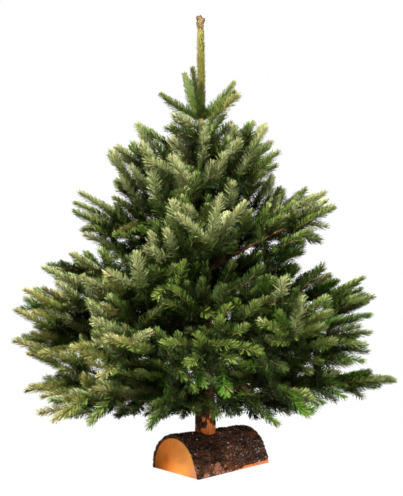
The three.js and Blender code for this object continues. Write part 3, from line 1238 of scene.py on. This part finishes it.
def make_billet():
    """The smooth half log: tapering, a rim of bark round each sawn end, its lower edge on -Y spread."""
    low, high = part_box("log_stand")
    deselect()
    bpy.ops.mesh.primitive_cylinder_add(
        vertices=LOG_SIDES,
        radius=LOG_RADIUS - BARK_RELIEF,
        depth=high.x - low.x,
        location=((low.x + high.x) / 2, 0, LOG_AXIS_HEIGHT),
        rotation=(0, math.pi / 2, 0),
    )
    log = bpy.context.object
    log.name = "log_stand_bark"
    apply_place()
    mesh = edit(log)
    for face in mesh.faces:
        face.select_set(face.normal.x > 0.9)
    bpy.ops.transform.resize(value=(1, LOG_THIN_END, LOG_THIN_END), center_override=(high.x, 0, 0))
    bpy.ops.mesh.select_all(action="DESELECT")
    mesh = bmesh.from_edit_mesh(log.data)
    for face in mesh.faces:
        face.select_set(abs(face.normal.x) > 0.9)
    bpy.ops.mesh.inset(thickness=BARK_THICKNESS, depth=0)
    bpy.ops.mesh.inset(thickness=0.8 * MM, depth=-0.8 * MM)
    mesh = bmesh.from_edit_mesh(log.data)
    for face in mesh.faces:
        face.material_index = 1 if face.select else 0
    bpy.ops.mesh.select_all(action="DESELECT")
    for edge in mesh.edges:
        first, second = edge.verts
        edge.select_set(abs(first.co.x - second.co.x) > 0.1)
    bpy.ops.mesh.subdivide(number_cuts=LOG_CUTS)
    bpy.ops.mesh.select_all(action="SELECT")
    bpy.ops.mesh.bisect(plane_co=(0, 0, 0), plane_no=(0, 0, 1), clear_inner=True)
    bpy.ops.mesh.select_all(action="DESELECT")
    bpy.ops.mesh.select_mode(type="EDGE")
    bpy.ops.mesh.select_non_manifold()
    bpy.ops.mesh.edge_face_add()
    bpy.ops.mesh.select_mode(type="FACE")
    for step in range(LOG_SPREAD_STEPS):
        bpy.ops.mesh.select_all(action="DESELECT")
        mesh = bmesh.from_edit_mesh(log.data)
        for vertex in mesh.verts:
            below = vertex.co.z < LOG_SPREAD_HEIGHT * (step + 0.5) / LOG_SPREAD_STEPS
            vertex.select_set(below and vertex.co.y < 0)
        bpy.ops.transform.translate(value=(0, -LOG_SPREAD / LOG_SPREAD_STEPS, 0))
    mesh = bmesh.from_edit_mesh(log.data)
    for face in mesh.faces:
        if face.normal.z < -0.9:
            face.material_index = 1
    finish_edit()
    return log


def mark_bark(log):
    """Weights the bark for its relief: full on the round, less at the ends and none on the floor."""
    low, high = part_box("log_stand")
    bark = log.vertex_groups.new(name="bark")
    for vertex in log.data.vertices:
        x, y, z = vertex.co
        taper = 1 + (LOG_THIN_END - 1) * (x - low.x) / (high.x - low.x)
        if y < 0:
            y += LOG_SPREAD * max(0, 1 - z / LOG_SPREAD_HEIGHT)
        if math.hypot(y, z - LOG_AXIS_HEIGHT * taper) > (LOG_RADIUS - BARK_RELIEF) * taper * 0.975:
            end = min(1, min(x - low.x, high.x - x) / (8 * MM) + 0.4)
            bark.add([vertex.index], min(end, z / (10 * MM)), "REPLACE")


def make_log(finishes):
    """The half log: a billet sawn flat, with rough bark, sawn ends and a hole for the trunk's foot."""
    log = make_billet()
    mark_bark(log)
    subdivide(log, 1, "SIMPLE")
    relief(log, "CLOUDS", 60 * MM, 7 * MM, (1.8, 1, 1), "bark", noise_depth=1)
    relief(log, "MUSGRAVE", 15 * MM, 4.5 * MM, (2.6, 1, 1), "bark", musgrave_type="RIDGED_MULTIFRACTAL")
    relief(log, "CLOUDS", 5 * MM, 2.4 * MM, (1.6, 1, 1), "bark", noise_depth=3)
    bore_trunk_hole(log)
    for finish in finishes:
        log.data.materials.append(finish)
    deselect()
    log.select_set(True)
    bpy.context.view_layer.objects.active = log
    bpy.ops.object.shade_smooth_by_angle(angle=math.radians(40))
    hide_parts("log_stand")
    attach(log, "root")


def bore_trunk_hole(log):
    """Cuts the blind hole that the trunk's foot stands in."""
    floor = RINGS[0, 0]
    radius = RINGS[:2, 3].max() + BORE_CLEARANCE
    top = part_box("log_stand")[1].z + 20 * MM
    deselect()
    bpy.ops.mesh.primitive_cylinder_add(
        vertices=48, radius=radius, depth=top - floor, location=(0, 0, (top + floor) / 2)
    )
    drill = bpy.context.object
    apply_place()
    bpy.context.view_layer.objects.active = log
    cut = log.modifiers.new("bore", "BOOLEAN")
    cut.operation = "DIFFERENCE"
    cut.object = drill
    cut.solver = "EXACT"
    bpy.ops.object.modifier_apply(modifier="bore")
    bpy.data.objects.remove(drill)


def log_bark_finish():
    """Old bark: dark fissures between brown plates, rust streaks, pale lichen and a peeled lower edge."""
    finish = Finish("log_bark", Specular_IOR_Level=0.2)
    x, y, height = finish.axes(finish.place())
    plates = finish.noise(finish.place(scale=(0.4, 1, 1)), 70.0, 6.0, 0.72)
    grain = finish.noise(finish.place(scale=(0.45, 1, 1)), 230.0, 4.0, 0.72)
    bark = finish.mix(plates.over(0.4, 0.58), tone(16, 8, 4), tone(80, 49, 31))
    rust = finish.noise(finish.place(scale=(0.3, 1, 1), shift=(2, 0, 0)), 46.0, 4.0, 0.62)
    bark = finish.mix(rust.over(0.56, 0.66) * 0.55, bark, tone(112, 58, 28))
    bark = finish.mix(grain.over(0.56, 0.7) * 0.42, bark, tone(126, 98, 78))
    low_front = (0.045 - height).over(0.0, 0.02) * (0.03 - x).over(0.0, 0.05)
    peeled = finish.noise(finish.place(shift=(0, 3, 1)), 46.0, 3.0, 0.6)
    peeled = (peeled + low_front * 0.14 - 0.08).over(0.56, 0.6) * (grain * 0.8 + 0.3)
    bark = finish.mix(peeled, bark, tone(158, 104, 80))
    lichen = finish.noise(finish.place(scale=(0.8, 1, 1), shift=(5, 1, 0)), 190.0, 3.0, 0.6)
    spread = finish.noise(finish.place(shift=(1, 7, 0)), 16.0, 1.0)
    pale = lichen.over(0.6, 0.64) * (spread + (x + height * 1.5 - 0.02)).over(0.5, 0.66)
    bark = finish.mix(pale * 0.55, bark, tone(196, 190, 182))
    blots = finish.noise(finish.place(scale=(0.8, 1, 1.2), shift=(9, 4, 2)), 62.0, 2.0, 0.5)
    bark = finish.mix(blots.over(0.69, 0.705) * 0.6, bark, tone(214, 210, 204))
    ragged = finish.noise(finish.place(scale=(1, 1, 0.4)), 30.0, 4.0, 0.7)
    edge = (0.004 - height + (ragged - 0.5) * 0.022 + (x - 0.06) * 0.1).over(0.0, 0.002)
    bark = finish.mix(edge * y.over(-0.07, -0.075), bark, tone(204, 118, 70))
    finish.feed("Base Color", bark)
    finish.feed("Roughness", 0.97 - pale * 0.1)
    finish.bump(grain + plates * 1.5, 1.8 * MM)
    return finish.material


def sawn_finish():
    """Sawn wood: faint rings and rays round an off-centre pith, deeper orange on one side, fine saw marks."""
    finish = Finish("sawn_wood", Specular_IOR_Level=0.25)
    pith = (0.0, 0.036, 0.030)
    _, y, z = finish.axes(finish.place())
    wobble = finish.noise(finish.place(), 16.0, 2.0)
    across_pith = y - pith[1]
    up_pith = z - pith[2]
    radius = (across_pith * across_pith + up_pith * up_pith).math("SQRT") + (wobble - 0.5) * 0.012
    rings = (radius * (2 * math.pi / 0.0042)).math("SINE") * 0.5 + 0.5
    angle = up_pith.math("ARCTAN2", across_pith)
    ray_place = finish.node("ShaderNodeCombineXYZ", {}, {0: angle, 1: radius * 3.0, 2: 0.0})
    rays = finish.noise(ray_place, 7.0, 4.0, 0.6)
    broad = finish.noise(finish.place(), 22.0, 3.0)
    light_side = ((broad - 0.5) * 0.06 - y).over(-0.03, 0.06)
    wood = finish.mix(light_side, tone(208, 112, 28), tone(222, 144, 68))
    wood = finish.mix(rays.over(0.42, 0.62) * radius.over(0.0, 0.05) * 0.3, wood, tone(230, 158, 84))
    wood = finish.mix(rings * 0.16, wood, tone(176, 92, 28))
    heart = 1 - radius.over(0.004, 0.02)
    wood = finish.mix(heart * 0.55, wood, tone(156, 74, 20))
    corner = (0.0 - y - 0.062 + (wobble - 0.5) * 0.03).over(0.0, 0.014) * (0.04 - z).over(0.0, 0.014)
    wood = finish.mix(corner * 0.7, wood, tone(230, 156, 118))
    finish.feed("Base Color", wood)
    saw = finish.noise(finish.place(scale=(1, 0.15, 1)), 500.0, 2.0)
    finish.feed("Roughness", 0.72 + saw * 0.15)
    finish.bump(saw * 0.6 + rings * 0.25, 0.4 * MM)
    return finish.material


# ---- Sprays: which needles each shoot bears ----
# Needle colours: base, tint that it drifts to, the record's slot.
# gold is the young tips' pale colour with painted light in it. dark and shade are painted shade for the
# inside of the crown and the feet of sprays; dark is also the older needles' own deeper green.
NEEDLES = {
    "gold": (tone(150, 146, 96), tone(164, 158, 112), "needles_olive"),
    "olive": (tone(124, 122, 62), tone(140, 136, 76), "needles_olive"),
    "sage": (tone(134, 142, 92), tone(152, 158, 108), "needles_sage"),
    "lime": (tone(92, 108, 42), tone(110, 124, 58), "needles_green"),
    "leaf": (tone(80, 102, 38), tone(102, 118, 50), "needles_green"),
    "fresh": (tone(54, 92, 18), tone(72, 104, 28), "needles_green"),
    "moss": (tone(82, 94, 48), tone(98, 108, 62), "needles_sage"),
    "tawny": (tone(98, 88, 30), tone(116, 106, 44), "needles_olive"),
    "dark": (tone(44, 60, 20), tone(58, 74, 30), "needles_sage"),
    "shade": (tone(14, 26, 3), tone(24, 38, 6), "needles_green"),
}
# The whorls whose foliage masses a colour's first piece replaces.
STANDS_FOR = {
    "sage": (1, 2, 3),
    "olive": (4, 5),
    "fresh": (6, 7),
}
# A spray's needle colours towards its tips and the side that faces the sky, between, and towards its foot:
# the first is the young tips' paler green with painted light on the sky side, the last the older needles'
# darker green with painted shade.
SPRAYS = {
    "sage": ("gold", "sage", "moss"),
    "olive": ("gold", "olive", "leaf"),
    "high": ("olive", "moss", "leaf"),
    "leaf": ("sage", "leaf", "shade"),
    "lime": ("sage", "lime", "leaf"),
    "green": ("lime", "leaf", "shade"),
    "fresh": ("lime", "fresh", "shade"),
    "deep": ("leaf", "dark", "shade"),
    "shade": ("shade", "shade", "shade"),
    "leader": ("olive", "tawny", "moss"),
}


def spray_kind(shoot):
    """The kind of spray that a shoot belongs to, by where it grows unless it's given."""
    if shoot.kind:
        return shoot.kind
    if shoot.tier == 1:
        return "high"
    # Painted shade: the oldest shoots, deep in the crown, bear only the near-black shade colour.
    if shoot.age >= 3:
        return "shade"
    rng = np.random.default_rng(KIND_SEED + shoot.spray)
    middle = shoot.points[2]
    right = middle @ RIGHT / 0.5
    high = middle[2] / TREE_TOP
    # Painted shade: the darker kinds, deep and shade, are weighted to inner shoots, the crown's heart, its
    # lower middle at the front and its back half, and the pale kinds are cut down in that lower middle.
    # Two-season shoots lean to deep as well, for their older needles.
    heart = 0.8 * (abs(right) < 0.3 and high < 0.55)
    central = min(1, max(0, 0.6 - abs(right - 0.05)) * max(0, 0.62 - high) * 7)
    pale = 1 - 0.75 * central
    behind = middle @ BACK > 0.1
    weights = {
        "sage": (0.25 + 3.6 * max(0, high - 0.4) + 0.9 * max(0, -right - 0.1)) * pale,
        "olive": (0.06 + 2.0 * max(0, -right) * max(0, 0.8 - high)) * pale,
        "leaf": 0.9,
        "fresh": 0.04 + 2.2 * max(0, 0.55 - high) * max(0, right + 0.5),
        "deep": 0.1 + 1.0 * (shoot.age == 2) + heart + central + 4.0 * shoot.inner + 1.2 * behind,
        "shade": 0.4 * central + 4.0 * shoot.inner,
    }
    total = np.array(list(weights.values()))
    return list(weights)[rng.choice(len(total), p=total / total.sum())]


def deal(blades, kind, needles, out, sunny, rng):
    """Deals one shoot's needles to their colours: paler towards its tip, as young needles are, and on its
    sky-facing side as painted light; darker towards its foot, the older needles' colour with painted shade;
    and a random fifth a step darker, painted shade between the needles.
    """
    count = len(needles)
    place = np.arange(count) / count * 1.1 + out @ sunny * 0.4 + rng.normal(0, 0.2, count)
    place -= 0.5 * (rng.random(count) < 0.22)
    side = np.where(place > 1.12, 0, np.where(place > 0.42, 1, 2))
    for number, name in enumerate(SPRAYS[kind]):
        blades[name].append(needles[side == number])


# How densely a shoot bears needles, by its age in seasons.
NEEDLE_SHARE = {1: 1.0, 2: 0.85, 3: 0.5}


def make_needles(shoots):
    """All the needles, joined by colour."""
    blades = defaultdict(list)
    for number, shoot in enumerate(shoots):
        share = NEEDLE_SHARE.get(shoot.age, 0)
        if not share:
            continue
        rng = np.random.default_rng(NEEDLE_SEED + number)
        strong = shoot.order == 0 and shoot.tier == 1
        count = int(shoot.length * share * NEEDLES_PER_METRE * (1.5 if strong else 1))
        along = STRONG_NEEDLES if strong else BRUSH_NEEDLES
        length = NEEDLE_LENGTH * rng.uniform(0.88, 1.04) * fineness(shoot.points[2])
        sky = outward(shoot.points[2], 3)
        flat = 0 if strong else FLATNESS
        needles, out = needles_on(shoot.points, count, 1.3 * MM, rng, sky, length, along, flat=flat)
        deal(blades, spray_kind(shoot), needles, out, sky, rng)
    needles, out = leader_needles()
    # Painted light: the leader's needles on its side towards the key light, front left, take the paler
    # colour, and the rest the darker.
    deal(blades, "leader", needles, out, unit(RIGHT * -0.5 - BACK), np.random.default_rng(6))
    for name, sets in blades.items():
        base, tint, slot = NEEDLES[name]
        finish = needle_finish(f"needles_{name}", base, tint)
        joined = np.concatenate(sets)
        parts = math.ceil(len(joined) / NEEDLES_PER_PIECE)
        for part, chunk in enumerate(np.array_split(joined, parts)):
            tiers = STANDS_FOR.get(name, ()) if part == 0 else ()
            stands_for = [f"foliage_{bough.mark}" for bough in BOUGHS if bough.tier in tiers]
            piece_name = f"needles_{name}_{part + 1}"
            corners_all = chunk.reshape(-1, 3)
            mesh_piece(piece_name, corners_all, blade_faces(len(chunk)), finish, slot, stands_for)


LEADER_NEEDLES = 2600
LEADER_NEEDLE_LENGTH = 13 * MM


def leader_needles():
    """The leader's needles, which lie close along it."""
    rng = np.random.default_rng(7)
    heights = np.linspace(LEADER_FOOT + 8 * MM, STEM_TOP, 30)
    points = np.array([trunk_at(height)[0] for height in heights])
    return needles_on(points, LEADER_NEEDLES, 4.4 * MM, rng, UP, LEADER_NEEDLE_LENGTH, lean=0.6)


# ---- Twigs and buds ----
TWIG_RADII = {1: 1.35 * MM, 2: 1.7 * MM, 3: 2.2 * MM, 4: 2.8 * MM, 5: 3.4 * MM}  # by age in seasons
OLDEST_TWIG_RADIUS = 4.0 * MM


def make_twigs(shoots):
    """The twigs under the needles, young and old, and the buds at their tips and on the leader."""
    young, old, buds = Joined(), Joined(), Joined()
    for number, shoot in enumerate(shoots):
        rng = np.random.default_rng(TWIG_SEED + number)
        if shoot.order > 0 or shoot.age == 1:
            foot = TWIG_RADII.get(shoot.age, OLDEST_TWIG_RADIUS)
            radii = np.linspace(foot, foot * 0.82, len(shoot.points))
            twigs = young if shoot.age == 1 else old
            twigs.add(*tube(shoot.points, radii))
        if shoot.is_tip:
            end, heading = shoot.points[-1], shoot.heading
            buds.add(*bud(end - heading * MM, heading, rng.uniform(6, 8) * MM, rng.uniform(2.1, 2.7) * MM))
            first = rng.uniform(0, math.pi)
            for turn in (first, first + math.pi):
                side = side_heading(heading, math.radians(50), turn)
                length = rng.uniform(4, 5.5) * MM
                radius = rng.uniform(1.5, 1.9) * MM
                buds.add(*bud(end - heading * 2 * MM, side, length, radius))
    rng = np.random.default_rng(8)
    top, _ = trunk_at(TREE_TOP - 16 * MM)
    buds.add(*bud(top - UP * 8 * MM, UP, 26 * MM, 9 * MM))
    for turn in np.arange(16) * GOLDEN_TURN:
        side = unit(UP * 1.3 + RIGHT * math.cos(turn) + BACK * math.sin(turn))
        start = top - UP * rng.uniform(-3, 26) * MM + side * (1, 1, 0) * 2.5 * MM
        buds.add(*bud(start, side, rng.uniform(14, 19) * MM, 6.4 * MM))
    bark = plain_bark_finish("twig_bark", tone(104, 76, 46), tone(54, 38, 24), 90.0)
    new = plain_bark_finish("new_shoot_bark", tone(134, 102, 58), tone(90, 64, 34), 90.0)
    young.piece("twigs_new", new, "limb_bark")
    old.piece("twigs_old", bark, "limb_bark")
    buds.piece("buds", bud_finish(), "limb_bark")


# ---- Camera, light and floor ----
def make_camera():
    data = bpy.data.cameras.new("camera")
    data.lens = CAMERA_LENS
    data.sensor_width = 36
    camera = bpy.data.objects.new("camera", data)
    bpy.context.scene.collection.objects.link(camera)
    camera.location = EYE
    camera.rotation_euler = (math.pi / 2, 0, VIEW_TURN)
    bpy.context.scene.camera = camera


def soft_light(name, right, back, height, size, power):
    """A square soft light that looks at the middle of the crown."""
    data = bpy.data.lights.new(name, "AREA")
    data.shape = "SQUARE"
    data.size = size
    data.energy = power
    light = bpy.data.objects.new(name, data)
    bpy.context.scene.collection.objects.link(light)
    light.location = RIGHT * right + BACK * back + UP * height
    look = Vector((0, 0, 0.55)) - light.location
    light.rotation_euler = look.to_track_quat("-Z", "Y").to_euler()


def make_world():
    """A white backdrop that lights the tree less than it shows."""
    world = bpy.data.worlds.new("studio")
    bpy.context.scene.world = world
    world.use_nodes = True
    tree = world.node_tree
    tree.nodes.clear()
    seen = tree.nodes.new("ShaderNodeBackground")
    lighting = tree.nodes.new("ShaderNodeBackground")
    seen.inputs["Color"].default_value = (1, 1, 1, 1)
    lighting.inputs["Color"].default_value = (1.0, 1.0, 0.97, 1)
    lighting.inputs["Strength"].default_value = 0.08
    path = tree.nodes.new("ShaderNodeLightPath")
    mix = tree.nodes.new("ShaderNodeMixShader")
    output = tree.nodes.new("ShaderNodeOutputWorld")
    tree.links.new(path.outputs["Is Camera Ray"], mix.inputs[0])
    tree.links.new(lighting.outputs[0], mix.inputs[1])
    tree.links.new(seen.outputs[0], mix.inputs[2])
    tree.links.new(mix.outputs[0], output.inputs["Surface"])


def make_floor():
    """A pale floor that lights the tree from below and isn't itself seen."""
    deselect()
    bpy.ops.mesh.primitive_plane_add(size=4, location=(0, 0, -0.2 * MM))
    floor = bpy.context.object
    floor.name = "floor"
    floor.visible_camera = False
    finish = Finish("pale_floor", Roughness=0.9, Specular_IOR_Level=0.1)
    speck = finish.noise(finish.place(), 3.0, 2.0)
    finish.feed("Base Color", finish.mix(speck * 0.1, (0.5, 0.5, 0.5), (0.46, 0.46, 0.46)))
    floor.data.materials.append(finish.material)


def make_studio():
    make_camera()
    soft_light("key", -1.0, -2.1, 2.3, 0.6, 300)
    soft_light("fill", 2.3, -1.2, 1.8, 0.8, 170)
    soft_light("front", 0.5, -2.7, 0.6, 0.5, 15)
    soft_light("back", 0.6, 2.2, 2.0, 1.4, 20)
    make_world()
    make_floor()
    bpy.context.scene.view_settings.view_transform = "Standard"


# ---- Making the tree ----
make_studio()
make_log((log_bark_finish(), sawn_finish()))
make_trunk(trunk_finish())
limb_bark = plain_bark_finish("limb_bark", tone(138, 86, 54), tone(66, 38, 24), 70.0)
for one_bough in BOUGHS:
    if one_bough.tier > 1:
        make_limb(one_bough, limb_bark)
crown = Crown()
make_twigs(crown.shoots)
make_needles(crown.shoots)
